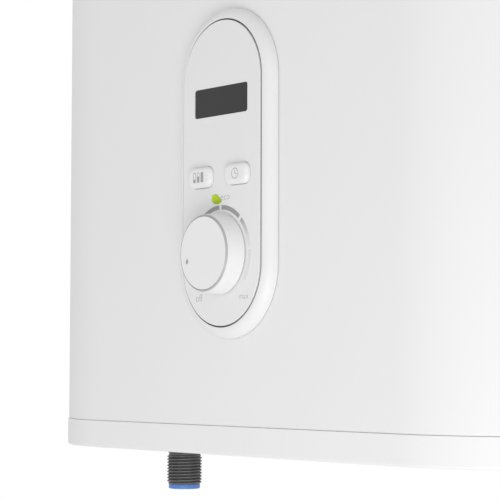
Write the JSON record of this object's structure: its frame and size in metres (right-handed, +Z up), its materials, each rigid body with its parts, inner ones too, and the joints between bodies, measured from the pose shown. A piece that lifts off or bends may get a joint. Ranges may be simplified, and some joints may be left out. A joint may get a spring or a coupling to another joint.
{
  "type": "tank water heater",
  "caption": "Flat wall-hung electric storage water heater with a round-ended control panel, push buttons, a temperature knob and threaded water connections underneath.",
  "frame": {"origin": "on the wall plane, midway between the four bracket slots", "axes": "+X to the right seen from the front, +Y towards the wall, +Z up"},
  "size_m": [0.4352, 0.2753, 0.886],
  "materials": {
    "jacket_white": "smooth white paint",
    "cap_white": "white moulded plastic",
    "panel_white": "white moulded plastic",
    "button_white": "white moulded plastic",
    "trim_grey": "satin grey",
    "display_dark": "smoked window",
    "leaf_green": "clear green lens",
    "pipe_dark": "dark threaded steel",
    "sleeve_blue": "blue plastic",
    "sleeve_red": "red plastic",
    "bracket_steel": "zinc plated",
    "screw_steel": "zinc plated",
    "plate_steel": "galvanised",
    "tank_steel": "stainless steel",
    "element_steel": "stainless steel",
    "anode_metal": "cast magnesium",
    "gasket_rubber": "black rubber",
    "foam": "rigid foam",
    "inner_plastic": "moulded plastic",
    "black_plastic": "moulded plastic",
    "board_green": "printed board",
    "wire_red": "insulated wire"
  },
  "bodies": {
    "heater": {"anode_nuts": "screw_steel", "anodes": "anode_metal", "board_standoffs": "inner_plastic", "bottom_cap": "cap_white", "bracket_bolts": "screw_steel", "button_switches": "black_plastic", "cable_gland": "black_plastic", "casing_screws": "screw_steel", "cold_inlet_nipple": "pipe_dark", "cold_inlet_sleeve": "sleeve_blue", "compartment_plate": "plate_steel", "control_board": "board_green", "display_module": "black_plastic", "display_window": "display_dark", "eco_indicator": "leaf_green", "element_leads": "wire_red", "flange_bolts": "screw_steel", "flange_gaskets": "gasket_rubber", "foam_insulation": "foam", "hanger_rails": "bracket_steel", "hot_outlet_nipple": "pipe_dark", "hot_outlet_sleeve": "sleeve_red", "hot_outlet_standpipe": "tank_steel", "inlet_diffuser": "inner_plastic", "left_flange": "plate_steel", "left_heating_element": "element_steel", "left_tank": "tank_steel", "lower_bracket": "bracket_steel", "outer_jacket": "jacket_white", "panel_bezel": "panel_white", "panel_clips": "screw_steel", "panel_face": "panel_white", "panel_harness": "black_plastic", "panel_housing": "inner_plastic", "panel_trim_ring": "trim_grey", "power_board": "board_green", "power_relays": "black_plastic", "right_flange": "plate_steel", "right_heating_element": "element_steel", "right_tank": "tank_steel", "rotary_encoder": "plate_steel", "safety_thermostat": "black_plastic", "service_cover": "cap_white", "temperature_sensor": "black_plastic", "terminal_block": "inner_plastic", "thermowells": "element_steel", "top_cap": "cap_white", "top_insulation_pad": "foam", "transfer_pipe": "tank_steel", "upper_bracket": "bracket_steel"},
    "knob": {"temperature_knob": "button_white", "knob_trim_ring": "trim_grey", "knob_shaft": "screw_steel"},
    "left_push_button": {"left_button": "button_white", "left_switch_plunger": "black_plastic"},
    "right_push_button": {"right_button": "button_white", "right_switch_plunger": "black_plastic"},
    "reset_pin": {"thermostat_reset_button": "sleeve_red"}
  },
  "joints": [
    {"name": "knob_turn", "type": "hinge", "parent": "heater", "child": "knob", "pos_m": [0, -0.2635, -0.3223], "axis": [0, 1, 0], "range_deg": [-36, 245]},
    {"name": "left_button_press", "type": "slide", "parent": "heater", "child": "left_push_button", "axis": [0, 1, 0], "range_m": [0, 0.0008], "stiffness_N_per_m": 800},
    {"name": "right_button_press", "type": "slide", "parent": "heater", "child": "right_push_button", "axis": [0, 1, 0], "range_m": [0, 0.0008], "stiffness_N_per_m": 800},
    {"name": "reset_pin_press", "type": "slide", "parent": "heater", "child": "reset_pin", "axis": [0, 0, 1], "range_m": [0, 0.0012], "stiffness_N_per_m": 600}
  ]
}
